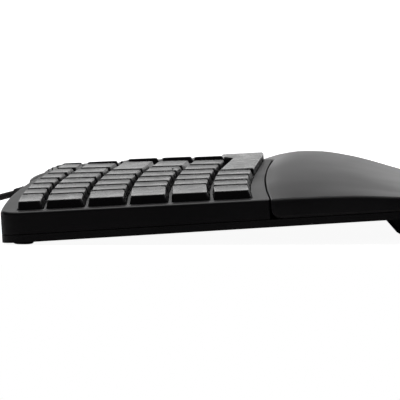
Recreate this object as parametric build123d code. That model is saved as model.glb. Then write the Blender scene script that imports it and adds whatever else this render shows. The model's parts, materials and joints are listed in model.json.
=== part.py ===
from build123d import *
import math
import os

# An ergonomic split keyboard. It is drawn on a level board first: X runs to the right
# from the left wall, Y to the rear from the rear edge, Z up from the case's underside.
# The finished board then stands on its rear feet and its two front legs.

# Case sizes
case_width = 474.0
crest_x = 157.0
deck_left_height = 13.78
wing_slope = 4.58
deck_fall = 0.52
right_wing_width = 167.0
crest_radius = 60.0
valley_radius = 90.0
case_wall = 2.0
case_floor = 2.0
tray_height = 3.4
shell_gap = 0.3
edge_round = 1.3
corner_radius = 10.0
notch_radius = 60.0
rear_bend_start = 10.0
row_radius = 590.0
seam_depth = 122.0
seam_radius = 900.0
seam_gap = 0.6
front_depth = 206.0
front_bow = 24.0
front_corner = 26.0
overrun = 1.0

# Key sizes
unit = 19.05
key_spacing = 1.95
function_cell = 13.45
cap_rise = 3.8
cap_skirt = 1.2
cap_wall = 1.1
cap_roof = 1.4
side_draft = 0.85
rear_draft = 0.3
front_draft = 1.4
cap_corner = 1.0
cap_top_corner = 1.8
cap_round = 0.6
cap_dish = 0.3
key_travel = 2.5
window_gap = 0.35
first_cell_x = 6.2
bend_start_x = 8.0
function_row_y = -13.75
number_row_y = -29.65
right_block_end = 320.4
block_gap = 7.0

# Layers under the deck, measured down from its upper face
plunger_diameter = 7.0
plunger_gap = 0.3
plunger_length = 5.0
guide_depth = 3.9
guide_thickness = 1.0
guide_rim = 1.5
layer_inset = 3.0
layer_front_depth = 117.0
dome_gap = 0.2
dome_base = 8.4
dome_top = 5.0
membrane_depth = 8.0
membrane_thickness = 0.3
layer_gap = 0.1
plate_thickness = 0.8

# Space bar
bar_left_x = 89.2
bar_rear_end_y = -103.2
bar_front_end_y = -120.0
bar_shoulder_x = 136.5
bar_shoulder_y = -111.9
bar_bulge_x = 142.5
bar_bulge_y = -107.6
bar_front_mid_y = -129.2
bar_corner = 2.2
bar_round = 1.1
bar_side_plunger = 48.0
bar_mid_y = -118.0
bar_side_y = -114.0

# Palm rest
palm_wall = 2.0
palm_side = 11.9
palm_crown = 28.2

# Feet and legs
foot_diameter = 10.0
foot_height = 1.4
foot_recess = 0.6
foot_inset = 12.0
rear_foot_y = -9.5
front_foot_y = -187.0
front_foot_height = 1.0
leg_width = 40.0
leg_x = 66.0
leg_axis_y = -179.4
leg_axis_z = 3.1
leg_lean = 52.0
leg_reach = 19.4
leg_thickness = 4.4
leg_barrel = 4.8
leg_stub = 2.8
leg_stub_length = 1.8
leg_gap = 0.4
leg_pad = 2.0
recess_rear_y = -157.0
recess_front_y = -186.8
recess_height = 5.8
recess_roof = 0.8
recess_wall = 2.6

# Screws, board and clamp
boss_diameter = 4.6
boss_gap = 0.3
screw_shaft = 2.4
screw_head = 4.4
screw_head_height = 1.2
screw_length = 7.0
screw_clearance = 0.15
rear_screw_y = -4.9
block_screw_y = -100.0
middle_screw_y = -86.0
palm_screw_y = -146.0
side_screw_inset = 26.0
wing_screw_reach = 62.0
crest_screw_reach = 9.0
post_diameter = 5.0
post_rows = [-30.0, -92.0]
post_places = [40.0, 116.0, 198.0, 276.0, 356.0, 430.0]
board_length = 62.0
board_depth = 26.0
board_thickness = 1.6
board_z = 7.0
board_y = -52.0
clamp_length = 44.0
clamp_depth = 6.0
clamp_height = 3.0
board_screw_inset = 4.0
board_screw_length = 4.0

# Cord
cord_diameter = 3.5
relief_length = 16.0
relief_base = 7.4
relief_tip = 4.8
relief_neck = 6.0
relief_flange = 9.0
relief_flange_thickness = 1.4
relief_gap = 0.3
relief_z = 16.0
relief_drop = 10.7
first_run = 22.0
cord_route = [(159.5, 42.0, 4.4), (166.0, 61.0, 3.1), (176.0, 80.0, 2.85)]
lead_route = [
    (235.55, 84.0, 15.15),
    (239.0, 64.0, 11.0),
    (249.0, 47.5, 6.4),
    (267.0, 37.0, 3.8),
    (287.0, 37.0, 3.8),
]
arc_share = 0.45
coil_turns = 11.5
coil_loops = 3
coil_layers = 4
coil_gap = 0.6
coil_checks = 96
coil_inner_radius = 18.5
coil_start_x = 176.0
coil_start_y = 104.0
tie_width = 9.0
tie_thickness = 0.8
tie_gap = 0.3
plug_grip_length = 21.0
plug_grip_width = 15.6
plug_grip_height = 7.6
plug_shell_length = 14.0
plug_shell_width = 12.0
plug_shell_height = 4.5
plug_shell_wall = 0.4
plug_tongue_height = 1.9
plug_edge = 1.6

# Values worked out from the sizes above
slope = math.radians(wing_slope)
slope_share = math.tan(slope)
crest_height = deck_left_height + crest_x * slope_share
flat_x = crest_x + right_wing_width
flat_height = crest_height - right_wing_width * slope_share
tall = crest_height + palm_crown
fall = Location((0, 0, 0), (deck_fall, 0, 0))
plate_depth = membrane_depth + membrane_thickness + layer_gap
stack_depth = plate_depth + plate_thickness
sweep_depth = cap_skirt + key_travel + layer_gap
nav_start = right_block_end + block_gap
pad_start = nav_start + 3 * unit + block_gap
shift_row_y = number_row_y - 3 * unit
bottom_row_y = number_row_y - 4 * unit


def deck_height(x):
    """Height of the deck's upper face over the level line at x."""
    if x <= crest_x:
        return deck_left_height + x * slope_share
    if x <= flat_x:
        return crest_height - (x - crest_x) * slope_share
    return flat_height


def deck_line(rise):
    """The deck's line across the board, lifted square to itself by rise."""
    start = (-overrun, 0, deck_height(-overrun) + rise / math.cos(slope))
    crest = (crest_x, 0, crest_height + rise / math.cos(slope))
    valley = (flat_x + rise * math.tan(slope / 2), 0, flat_height + rise)
    end = (case_width + overrun, 0, flat_height + rise)
    return FilletPolyline(start, crest, valley, end, radius=[crest_radius + rise, valley_radius - rise])


def run_along(face):
    """Carries a face across the board from behind the rear edge past the front edge."""
    length = front_depth + front_bow + 2 * corner_radius
    return fall * (Pos(0, corner_radius, 0) * extrude(face, amount=length, dir=(0, -1, 0)))


def layer(top_rise, bottom_rise):
    """A sheet that follows the deck between two levels."""
    top = deck_line(top_rise)
    bottom = deck_line(bottom_rise)
    sides = [Line(top @ 1, bottom @ 1), Line(bottom @ 0, top @ 0)]
    return run_along(make_face(top.edges() + bottom.edges() + ShapeList(sides)))


def below(rise):
    """Everything under the deck's line, down past the underside."""
    top = deck_line(rise)
    left = top @ 0
    right = top @ 1
    low_left = (left.X, 0, -corner_radius)
    low_right = (right.X, 0, -corner_radius)
    sides = [Line(right, low_right), Line(low_right, low_left), Line(low_left, left)]
    return run_along(make_face(top.edges() + ShapeList(sides)))


def gull_drop(radius, start):
    """How far a bent line has come forward where the two halves meet."""
    reach = crest_x - start
    return radius - math.sqrt(radius**2 - reach**2)


def gull_edges(y, radius, start, inset):
    """A line across the board that bends forward to the crest, from left to right."""
    far = 2 * crest_x - start
    middle = (crest_x, y - gull_drop(radius, start))
    left_arc = TangentArc((start, y), middle, tangent=(1, 0))
    right_arc = TangentArc((far, y), middle, tangent=(-1, 0))
    return [Line((inset, y), (start, y)), left_arc, right_arc, Line((far, y), (case_width - inset, y))]


def strip(rear_y, front_y, front_radius, inset, corner):
    """The plan between two bent lines, with rounded rear corners and a rounded notch."""
    rear = gull_edges(rear_y, row_radius, rear_bend_start, inset)
    front = gull_edges(front_y, front_radius, rear_bend_start, inset)
    right = case_width - inset
    ends = [Line((inset, rear_y), (inset, front_y)), Line((right, rear_y), (right, front_y))]
    plan = make_face(rear + front + ends)
    middle = plan.vertices().filter_by_position(Axis.X, crest_x - overrun, crest_x + overrun)
    plan = fillet(middle, notch_radius)
    corners = plan.vertices().group_by(Axis.Y)[-1].filter_by(
        lambda v: v.X < inset + overrun or v.X > right - overrun
    )
    return fillet(corners, corner)


def front_plan(rear_y, inset):
    """The plan of the palm rest, from the seam to the bowed front edge."""
    rear = gull_edges(rear_y, seam_radius, rear_bend_start, inset)
    left = inset
    right = case_width - inset
    corner_y = inset - front_depth
    bow_end = 2 * crest_x - front_corner
    bow = ThreePointArc(
        (front_corner, corner_y), (crest_x, corner_y - front_bow), (bow_end, corner_y)
    )
    lines = [
        Line((left, rear_y), (left, corner_y)),
        Line((left, corner_y), (front_corner, corner_y)),
        bow,
        Line((bow_end, corner_y), (right, corner_y)),
        Line((right, corner_y), (right, rear_y)),
    ]
    plan = make_face(rear + lines)
    middle = plan.vertices().filter_by_position(Axis.X, crest_x - overrun, crest_x + overrun)
    plan = fillet(middle, notch_radius)
    corners = plan.vertices().filter_by_position(Axis.Y, corner_y - overrun, corner_y + overrun)
    outer = corners.filter_by(lambda v: v.X < left + overrun or v.X > right - overrun)
    return fillet(outer, front_corner / 2)


def column(plan, low, high):
    """A plan carried straight up between two heights."""
    return Pos(0, 0, low) * extrude(plan, amount=high - low)


def post(x, y, diameter, low, high):
    """An upright round post."""
    return Pos(x, y, (low + high) / 2) * Cylinder(diameter / 2, high - low)


def row_bend(x):
    """How far a key at x sits in front of its row's end, and how it is turned."""
    if x <= crest_x:
        reach = max(x - bend_start_x, 0)
        turn = -1
    else:
        reach = max(2 * crest_x - bend_start_x - x, 0)
        turn = 1
    drop = row_radius - math.sqrt(row_radius**2 - reach**2)
    return drop, turn * math.degrees(math.asin(reach / row_radius))


def key_seat(x, y):
    """The place of a key on the deck, square to its wing."""
    drop, turn = row_bend(x)
    if x <= crest_x:
        tilt = -wing_slope
    elif x <= flat_x:
        tilt = wing_slope
    else:
        tilt = 0
    turned = Location((0, 0, 0), (0, 0, turn))
    return fall * Location((x, y - drop, deck_height(x)), (0, tilt, 0)) * turned


# Each row lists its node, how many keys it has and their widths in key units
left_rows = [
    (function_row_y, function_cell, [("escape_key", 1, 1.5), ("function_keys_left", 6, 1)]),
    (number_row_y, unit, [("grave_key", 1, 1.25), ("number_keys_left", 6, 1)]),
    (
        number_row_y - unit,
        unit,
        [("tab_key", 1, 1.5), ("upper_letters_left", 4, 1), ("upper_letters_left", 1, 1.75)],
    ),
    (
        number_row_y - 2 * unit,
        unit,
        [("caps_lock_key", 1, 1.75), ("home_letters_left", 4, 1), ("home_letters_left", 1, 1.25)],
    ),
    (shift_row_y, unit, [("left_shift_key", 1, 1.75), ("lower_letters_left", 5, 1)]),
    (bottom_row_y, unit, [("left_control_key", 1, 1.25), ("left_modifier_keys", 3, 1)]),
]
right_rows = [
    (function_row_y, function_cell, [("function_keys_right", 8, 1)]),
    (number_row_y, unit, [("number_keys_right", 6, 1), ("backspace_key", 1, 2)]),
    (number_row_y - unit, unit, [("upper_letters_right", 7, 1), ("backslash_key", 1, 1.5)]),
    (number_row_y - 2 * unit, unit, [("home_letters_right", 6, 1), ("enter_key", 1, 2.25)]),
    (shift_row_y, unit, [("lower_letters_right", 5, 1), ("right_shift_key", 1, 2.75)]),
    (bottom_row_y, unit, [("right_modifier_keys", 3, 1.25), ("right_control_key", 1, 1.25)]),
]
nav_rows = [
    (function_row_y, function_cell, [("system_keys", 3, 1)]),
    (number_row_y, unit, [("editing_keys", 3, 1)]),
    (number_row_y - unit, unit, [("editing_keys", 3, 1)]),
    (bottom_row_y, unit, [("side_arrow_keys", 3, 1)]),
]
pad_rows = [
    (function_row_y, function_cell, [("keypad_function_keys", 4, 1)]),
    (number_row_y, unit, [("keypad_operator_keys", 4, 1)]),
    (number_row_y - unit, unit, [("keypad_digit_keys", 3, 1)]),
    (number_row_y - 2 * unit, unit, [("keypad_digit_keys", 3, 1)]),
    (shift_row_y, unit, [("keypad_digit_keys", 3, 1)]),
    (bottom_row_y, unit, [("keypad_zero_key", 1, 2), ("keypad_point_key", 1, 1)]),
]


def lay_row(start_x, y, depth, groups):
    """Places a row's keys from start_x and lists node, seat, width and depth of each."""
    placed = []
    x = start_x
    for node, count, units in groups:
        for _ in range(count):
            width = units * unit
            placed.append((node, key_seat(x + width / 2, y), width, depth))
            x += width
    return placed


def lay_keys():
    """Every key but the space bar."""
    placed = []
    for y, depth, groups in left_rows:
        placed += lay_row(first_cell_x, y, depth, groups)
    for y, depth, groups in right_rows:
        total = sum(count * units for _, count, units in groups) * unit
        placed += lay_row(right_block_end - total, y, depth, groups)
    for y, depth, groups in nav_rows:
        placed += lay_row(nav_start, y, depth, groups)
    for y, depth, groups in pad_rows:
        placed += lay_row(pad_start, y, depth, groups)
    placed.append(("up_arrow_key", key_seat(nav_start + 1.5 * unit, shift_row_y), unit, unit))
    tall_x = pad_start + 3.5 * unit
    placed.append(("keypad_plus_key", key_seat(tall_x, number_row_y - 1.5 * unit), unit, 2 * unit))
    placed.append(("keypad_enter_key", key_seat(tall_x, shift_row_y - unit / 2), unit, 2 * unit))
    return placed


def cap(cell_width, cell_depth):
    """A hollow key cap with its dished top, skirt and plunger, on the deck's face."""
    width = cell_width - key_spacing
    depth = cell_depth - key_spacing
    top_width = width - 2 * side_draft
    top_depth = depth - rear_draft - front_draft
    back = (front_draft - rear_draft) / 2
    foot = RectangleRounded(width, depth, cap_corner)
    head = Pos(0, back, cap_rise) * RectangleRounded(top_width, top_depth, cap_top_corner)
    body = loft([foot, head]) + Pos(0, 0, -cap_skirt) * extrude(foot, amount=cap_skirt)
    dish_radius = top_width**2 / (8 * cap_dish)
    dish = Cylinder(dish_radius, depth + 2 * overrun, rotation=(90, 0, 0))
    body -= Pos(0, back, cap_rise + dish_radius - cap_dish) * dish
    body = fillet(body.faces().sort_by(Axis.Z)[-1].edges(), cap_round)
    room = RectangleRounded(width - 2 * cap_wall, depth - 2 * cap_wall, cap_corner)
    roof = Pos(0, back, cap_rise - cap_roof) * RectangleRounded(
        top_width - 2 * cap_wall, top_depth - 2 * cap_wall, cap_top_corner - cap_wall / 2
    )
    hollow = loft([room, roof]) + Pos(0, 0, -cap_skirt) * extrude(room, amount=cap_skirt)
    body -= hollow
    reach = plunger_length + cap_rise - cap_roof / 2
    return body + Pos(0, 0, reach / 2 - plunger_length) * Cylinder(plunger_diameter / 2, reach)


def bar_plan(grow):
    """The space bar's plan, wider in the middle where the two halves part."""
    left = bar_left_x - grow
    right = 2 * crest_x - left
    far_shoulder = 2 * crest_x - bar_shoulder_x
    far_bulge = 2 * crest_x - bar_bulge_x
    points = [
        (left, bar_rear_end_y + grow),
        (bar_shoulder_x, bar_shoulder_y + grow),
        (bar_bulge_x, bar_bulge_y + grow),
        (far_bulge, bar_bulge_y + grow),
        (far_shoulder, bar_shoulder_y + grow),
        (right, bar_rear_end_y + grow),
        (right, bar_front_end_y - grow),
        (crest_x, bar_front_mid_y - grow),
        (left, bar_front_end_y - grow),
    ]
    plan = make_face(Polyline(*points, close=True))
    return fillet(plan.vertices(), bar_corner)


def bar_posts():
    """Where the space bar's three plungers stand."""
    side = [(crest_x - bar_side_plunger, bar_side_y), (crest_x + bar_side_plunger, bar_side_y)]
    return [(crest_x, bar_mid_y)] + side


def bar_level(x, y, rise):
    """Height of a level over the deck at a point of the space bar."""
    crest_loss = crest_radius / math.cos(slope) - crest_radius
    surface = deck_height(x) - (crest_loss if x == crest_x else 0)
    return surface + rise + y * math.tan(math.radians(deck_fall))


def make_space_bar():
    """The space bar, which follows the crest and runs straight down."""
    body = column(bar_plan(0), 0, tall) & layer(cap_rise, -cap_skirt)
    upper = body.faces().filter_by(lambda face: face.normal_at().Z > level_share).edges()
    body = fillet(upper.filter_by(lambda edge: not on_crest(edge)), bar_round)
    room = column(bar_plan(-cap_wall - bar_round / 2), 0, tall)
    body -= room & layer(cap_rise - cap_roof, -cap_skirt - overrun)
    for x, y in bar_posts():
        top = bar_level(x, y, cap_rise - cap_roof / 2)
        body += square_post(x, y, plunger_diameter, bar_level(x, y, -plunger_length), top)
    return body


def square_post(x, y, size, low, high):
    """An upright square post."""
    return Pos(x, y, (low + high) / 2) * Box(size, size, high - low)


def on_crest(edge):
    """True for an edge across the bar where the flat wings meet the rounded crest."""
    near = abs(edge.center().X - crest_x) < crest_radius * slope_share * 2
    return near and edge.bounding_box().size.Y > unit / 2


def seam_line(x):
    """The seam's place at x."""
    reach = min(abs(x - crest_x), crest_x - rear_bend_start)
    reach = crest_x - rear_bend_start - reach
    return -seam_depth - (seam_radius - math.sqrt(seam_radius**2 - reach**2))


def front_line(x):
    """The front edge's place at x."""
    half = crest_x - front_corner
    radius = (half**2 + front_bow**2) / (2 * front_bow)
    reach = min(abs(x - crest_x), half)
    return -front_depth - (math.sqrt(radius**2 - reach**2) - (radius - front_bow))


# Heights along the palm rest from the seam to the front edge, in the middle and at the side.
# They are shares of the crown's height and of the side's height.
palm_shares = [-0.1, 0, 0.09, 0.153, 0.257, 0.417, 0.685, 0.875, 1, 1.08]
crown_shares = [0.895, 0.886, 0.979, 1, 0.979, 0.869, 0.567, 0.348, 0.19, 0.12]
side_shares = [1.01, 1, 0.975, 0.962, 0.937, 0.9, 0.79, 0.7, 0.48, 0.4]
wing_shares = [0.026, 0.19, 0.573, 1]
level_share = 0.9


def crest_share(x):
    """How much of the crest's rise the deck has at x, from none at the side to all."""
    side = deck_left_height - edge_round
    share = (deck_height(x) - side) / (crest_height - side)
    return min(max(share, 0), 1)


def palm_section(x, drop):
    """An upright slice through the palm rest at x, with its top lowered by drop."""
    rear = seam_line(x)
    depth = front_line(x) - rear
    share = crest_share(x)
    points = []
    for along, crown, side in zip(palm_shares, crown_shares, side_shares):
        height = share * crown * palm_crown + (1 - share) * side * palm_side
        points.append((x, rear + along * depth, height - drop))
    first = points[0]
    last = points[-1]
    low = -corner_radius
    return make_face(Polyline(*points, (x, last[1], low), (x, first[1], low), close=True))


def palm_block(drop):
    """The palm rest's swept top as a solid that runs past its plan."""
    places = [-overrun] + [share * crest_x for share in wing_shares]
    places += [2 * crest_x - share * crest_x for share in reversed(wing_shares[1:-1])]
    places += [flat_x, case_width + overrun]
    return loft([palm_section(x, drop) for x in places], ruled=True)


def board_plan(inset):
    """The whole board's plan."""
    rear = strip(-inset, -seam_depth - overrun, seam_radius, inset, corner_radius - inset)
    return rear + front_plan(-seam_depth, inset)


def case_screw_places():
    """Screws that hold the top case, in the rear margin and between the blocks."""
    places = []
    for x in [side_screw_inset, crest_x - wing_screw_reach, crest_x + wing_screw_reach]:
        reach = max(crest_x - rear_bend_start - abs(x - crest_x), 0)
        places.append((x, rear_screw_y - (row_radius - math.sqrt(row_radius**2 - reach**2))))
    nav_gap_x = right_block_end + block_gap / 2
    pad_gap_x = pad_start - block_gap / 2
    places += [(nav_gap_x, rear_screw_y), (case_width - side_screw_inset, rear_screw_y)]
    places += [(nav_gap_x, block_screw_y), (pad_gap_x, block_screw_y)]
    return places + [(crest_x - crest_screw_reach, middle_screw_y)]


def palm_screw_places():
    """Screws that hold the palm rest."""
    reach = wing_screw_reach / 2
    places = [side_screw_inset + reach, crest_x, 2 * crest_x, case_width - side_screw_inset]
    return [(x, palm_screw_y) for x in places]


def bore(places, diameter, low, high):
    """Upright round tools for a list of places."""
    return [post(x, y, diameter, low, high) for x, y in places]


def make_top_case(keys):
    """The deck with its side and rear walls, one window for each key."""
    outline = strip(0, -seam_depth, seam_radius, 0, corner_radius)
    block = column(outline, tray_height + shell_gap, tall) & below(0)
    rim = block.edges().filter_by(lambda e: e.center().Z > deck_left_height / 2)
    rim = rim.filter_by(lambda e: not seam_edge(e) and not deck_bend(e))
    block = fillet(rim, edge_round)
    room_plan = strip(-case_wall, -seam_depth + case_wall, seam_radius, case_wall, corner_radius - case_wall)
    shell = block - (column(room_plan, 0, tall) & below(-case_wall))
    places = case_screw_places()
    floor = case_floor + shell_gap
    for boss in bore(places, boss_diameter, floor, tall):
        shell += boss & block
    shell -= bore(places, screw_shaft + 2 * screw_clearance, 0, screw_length + overrun)
    windows = [seat * window_box(width, depth) for _, seat, width, depth in keys]
    shell -= windows
    shell -= column(bar_plan(window_gap), deck_left_height / 2, tall)
    neck = relief_neck + 2 * relief_gap
    hole = relief_place() * Cylinder(neck / 2, 4 * case_wall)
    return shell - hole


def window_box(width, depth):
    """The opening in the deck for one key."""
    across = width - key_spacing + 2 * window_gap
    along = depth - key_spacing + 2 * window_gap
    return Box(across, along, 2 * (case_wall + cap_skirt))


def seam_edge(edge):
    """True for an edge that lies on the seam."""
    middle = edge.position_at(0.5)
    inside = middle.X > overrun and middle.X < case_width - overrun
    return inside and abs(middle.Y - seam_line(middle.X)) < case_wall


def deck_bend(edge):
    """True for an edge that runs from the rear to the seam across the deck."""
    middle = edge.position_at(0.5)
    inside = middle.X > corner_radius and middle.X < case_width - corner_radius
    return inside and edge.bounding_box().size.Y > seam_depth / 2


def make_bottom_case():
    """The tray with its posts, leg recesses and foot seats."""
    tray = column(board_plan(0), 0, tray_height)
    tray -= column(board_plan(case_wall), case_floor, tall)
    posts = [post(x, y, post_diameter, case_floor / 2, tall) for x in post_places for y in post_rows]
    under_plate = below(-stack_depth - 2 * layer_gap)
    for support in posts:
        tray += support & under_plate
    for x, y in board_screw_places():
        tray += post(x, y, post_diameter, case_floor / 2, board_z)
        tray -= post(x, y, screw_shaft + 2 * screw_clearance, case_floor, board_z)
    depth = recess_rear_y - recess_front_y
    middle_y = (recess_rear_y + recess_front_y) / 2
    width = leg_width + 2 * leg_gap
    axle_length = width + 2 * leg_stub_length + leg_gap
    for x in leg_places():
        block = Box(width + 2 * recess_wall, depth + 2 * recess_roof, recess_height + recess_roof)
        room = Box(width, depth, 2 * recess_height)
        tray += Pos(x, middle_y, (recess_height + recess_roof) / 2) * block
        tray -= Pos(x, middle_y, 0) * room
        axle = Cylinder((leg_stub + leg_gap) / 2, axle_length, rotation=(0, 90, 0))
        tray -= Pos(x, leg_axis_y, leg_axis_z) * axle
    for x, y in rear_foot_places() + front_foot_places():
        tray -= post(x, y, foot_diameter, -overrun, foot_recess)
    places = case_screw_places() + palm_screw_places()
    tray -= bore(places, screw_shaft + 2 * screw_clearance, 0, tray_height)
    tray -= bore(places, screw_head + 2 * screw_clearance, -overrun, screw_head_height + screw_clearance)
    return tray


def make_palm_rest():
    """The palm rest's shell with its bosses."""
    block = column(front_plan(-seam_depth - seam_gap, 0), tray_height + shell_gap, tall) & palm_block(0)
    room = column(front_plan(-seam_depth - seam_gap - palm_wall, palm_wall), 0, tall) & palm_block(palm_wall)
    shell = block - room
    for boss in bore(palm_screw_places(), boss_diameter, case_floor + shell_gap, tall):
        shell += boss & palm_block(0)
    return shell - bore(palm_screw_places(), screw_shaft + 2 * screw_clearance, 0, screw_length + overrun)


def layer_plan(inset):
    """The plan shared by the sheets under the deck."""
    return strip(-inset, inset - layer_inset - layer_front_depth, seam_radius, inset, corner_radius - inset)


def boss_clearance():
    """Tools that clear the top case's bosses and the strain relief's flange."""
    tools = bore(case_screw_places(), boss_diameter + 2 * boss_gap, 0, tall)
    wall = relief_place().position
    reach = 2 * (case_wall + 2 * relief_gap + relief_flange_thickness)
    high = relief_z + relief_flange / 2 + relief_gap
    tools.append(Pos(crest_x, wall.Y, high / 2) * Box(relief_flange + 2 * relief_gap, reach, high))
    return tools


def key_room(width, depth):
    """The room that one key sweeps down to the guide plate."""
    across = width - key_spacing + 2 * window_gap
    along = depth - key_spacing + 2 * window_gap
    return Box(across, along, 2 * sweep_depth)


def make_guide_frame(keys):
    """The plate that guides every plunger, with a rim up to the deck where no key comes down."""
    outer = column(layer_plan(layer_inset), 0, tall)
    inner = column(layer_plan(layer_inset + guide_rim), 0, tall)
    plate = outer & layer(-guide_depth, -guide_depth - guide_thickness)
    rim = (outer - inner) & layer(-case_wall - layer_gap, -guide_depth - guide_thickness)
    rim -= [seat * key_room(width, depth) for _, seat, width, depth in keys]
    rim -= column(bar_plan(window_gap), 0, tall) & layer(overrun, -sweep_depth)
    hole = Cylinder(plunger_diameter / 2 + plunger_gap, 4 * guide_depth)
    frame = plate + rim - [seat * hole for _, seat, _, _ in keys]
    frame -= [square_post(x, y, plunger_diameter + 2 * plunger_gap, 0, tall) for x, y in bar_posts()]
    return frame - boss_clearance()


def make_sheet(depth, thickness):
    """A thin sheet at a depth under the deck."""
    sheet = column(layer_plan(layer_inset), 0, tall) & layer(-depth, -depth - thickness)
    return sheet - boss_clearance()


def make_domes(keys):
    """One rubber dome under each plunger."""
    height = membrane_depth - plunger_length - dome_gap
    dome = Pos(0, 0, height / 2 - membrane_depth) * Cone(dome_base / 2, dome_top / 2, height)
    domes = [seat * dome for _, seat, _, _ in keys]
    x, y = bar_posts()[0]
    domes.append(Pos(x, y, bar_level(x, y, layer_gap)) * dome)
    return domes


def board_screw_places():
    """Screws at the controller board's ends."""
    reach = board_length / 2 - board_screw_inset
    return [(crest_x - reach, board_y), (crest_x + reach, board_y)]


def make_controller_board():
    """The small circuit board on its two posts."""
    level = board_z + board_thickness / 2
    plate = Pos(crest_x, board_y, level) * Box(board_length, board_depth, board_thickness)
    high = board_z + 2 * board_thickness
    return plate - bore(board_screw_places(), screw_shaft + 2 * screw_clearance, 0, high)


def make_membrane_clamp():
    """The bar that presses the membrane's tail to the board."""
    height = board_z + board_thickness + clamp_height / 2
    y = board_y + (board_depth - clamp_depth) / 2
    return Pos(crest_x, y, height) * Box(clamp_length, clamp_depth, clamp_height)


def screw(x, y, head_z, length, upward):
    """A pan-head screw that points up or down from its head."""
    way = 1 if upward else -1
    head = Pos(x, y, head_z + way * screw_head_height / 2) * Cylinder(screw_head / 2, screw_head_height)
    start = head_z + way * screw_head_height
    return head + Pos(x, y, start + way * length / 2) * Cylinder(screw_shaft / 2, length)


def make_case_screws():
    """The screws that close the case from below."""
    places = case_screw_places() + palm_screw_places()
    return [screw(x, y, screw_clearance, screw_length - screw_head_height, True) for x, y in places]


def make_board_screws():
    """The screws that hold the board to its posts."""
    head_z = board_z + board_thickness + screw_head_height
    return [screw(x, y, head_z, board_screw_length, False) for x, y in board_screw_places()]


def leg_places():
    """The middle of each leg."""
    return [leg_x, case_width - leg_x]


def rear_foot_places():
    """The rear feet's places."""
    return [(foot_inset, rear_foot_y), (case_width - foot_inset, rear_foot_y)]


def front_foot_places():
    """The front feet's places, used when the legs are folded."""
    return [(foot_inset, front_foot_y), (case_width - foot_inset, front_foot_y)]


# The desk runs under the rear feet and the tips of the legs
lean = math.radians(leg_lean)
tip_y = leg_axis_y - leg_reach * math.cos(lean)
tip_z = leg_axis_z - leg_reach * math.sin(lean)
stand_tilt = math.atan2(-foot_height - tip_z, rear_foot_y - tip_y)
lift = foot_height * math.cos(stand_tilt) + rear_foot_y * math.sin(stand_tilt)
stand = Pos(0, 0, lift) * Location((0, 0, 0), (-math.degrees(stand_tilt), 0, 0))


def above_desk():
    """A block over the desk that takes in both feet and legs, in the board's frame."""
    size = 2 * case_width
    return stand.inverse() * Pos(0, 0, size / 2) * Box(size, size, size)


def leg_seat(x):
    """A leg's axis with its length pointing straight down the leg."""
    return Location((x, leg_axis_y, leg_axis_z), (leg_lean - 90, 0, 0))


def make_leg(x):
    """A folding leg with its barrel and two stub axles."""
    barrel = Cylinder(leg_barrel / 2, leg_width, rotation=(0, 90, 0))
    stubs = Cylinder(leg_stub / 2, leg_width + 2 * leg_stub_length, rotation=(0, 90, 0))
    length = leg_reach - leg_pad
    blade = Pos(0, 0, -length / 2) * Box(leg_width, leg_thickness, length)
    return leg_seat(x) * (barrel + stubs + blade)


def make_leg_pad(x):
    """The rubber pad at a leg's tip, flat on the desk."""
    length = 3 * leg_pad
    pad = Pos(0, 0, -leg_reach + leg_pad - length / 2) * Box(leg_width, leg_thickness, length)
    return leg_seat(x) * pad & above_desk()


def make_rear_feet():
    """The rear feet, cut flat by the desk."""
    low = -3 * foot_height
    size = foot_diameter - 2 * screw_clearance
    return [post(x, y, size, low, foot_recess) & above_desk() for x, y in rear_foot_places()]


def make_front_feet():
    """The pads under the palm rest's front corners."""
    size = foot_diameter - 2 * screw_clearance
    return [post(x, y, size, -front_foot_height, foot_recess) for x, y in front_foot_places()]


def relief_place():
    """Where the cord leaves the rear wall, looking out."""
    bend = math.asin((crest_x - rear_bend_start) / row_radius)
    y = -gull_drop(row_radius, rear_bend_start) + notch_radius * (1 / math.cos(bend) - 1)
    return Location((crest_x, y, relief_z), (-90, 0, 0))


def relief_end():
    """The tip of the strain relief, looking down the cord."""
    turn = Location((0, 0, 0), (-relief_drop, 0, 0))
    return relief_place() * Pos(0, 0, relief_gap) * turn * Pos(0, 0, relief_length)


def make_strain_relief():
    """The cord's boot, held in the rear wall between its flange and its root."""
    seat = relief_place()
    inner = -case_wall - relief_gap
    neck = seat * Pos(0, 0, (inner + relief_gap) / 2) * Cylinder(relief_neck / 2, relief_gap - inner)
    flange = Cylinder(relief_flange / 2, relief_flange_thickness)
    flange = seat * Pos(0, 0, inner - relief_flange_thickness / 2) * flange
    root = seat * Pos(0, 0, relief_gap) * Circle(relief_base / 2)
    boot = loft([root, relief_end() * Circle(relief_tip / 2)])
    return neck + flange + boot


def print_route(name, points, radii):
    """Prints a cord route's radii."""
    print(name, "radii", [round(radius, 1) for radius in radii], "points", len(points))


def route_path(name, points):
    """Straight runs joined by arcs as large as the runs allow."""
    corners = []
    for before, here, after in zip(points, points[1:], points[2:]):
        run_in = Vector(*here) - Vector(*before)
        run_out = Vector(*after) - Vector(*here)
        half_turn = math.radians(run_in.get_angle(run_out)) / 2
        corners.append(arc_share * min(run_in.length, run_out.length) / math.tan(half_turn))
    print_route(name, points, corners)
    return FilletPolyline(*points, radius=corners)


def tube(path, diameter):
    """A round tube along a path."""
    section = Plane(origin=path @ 0, z_dir=path % 0) * Circle(diameter / 2)
    return sweep(section, path=path)


def biarc(start, start_way, end, end_way):
    """Two arcs that join two points and keep both directions."""
    across = end - start
    both = start_way + end_way
    square = 2 * (start_way.dot(end_way) - 1)
    linear = -2 * across.dot(both)
    constant = across.dot(across)
    root = math.sqrt(linear**2 - 4 * square * constant)
    reach = (-linear - root) / (2 * square)
    first = start + start_way * reach
    second = end - end_way * reach
    middle = (first + second) * 0.5
    way = (second - first).normalized()
    return [TangentArc(start, middle, tangent=start_way), TangentArc(middle, end, tangent=way)]


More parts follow.
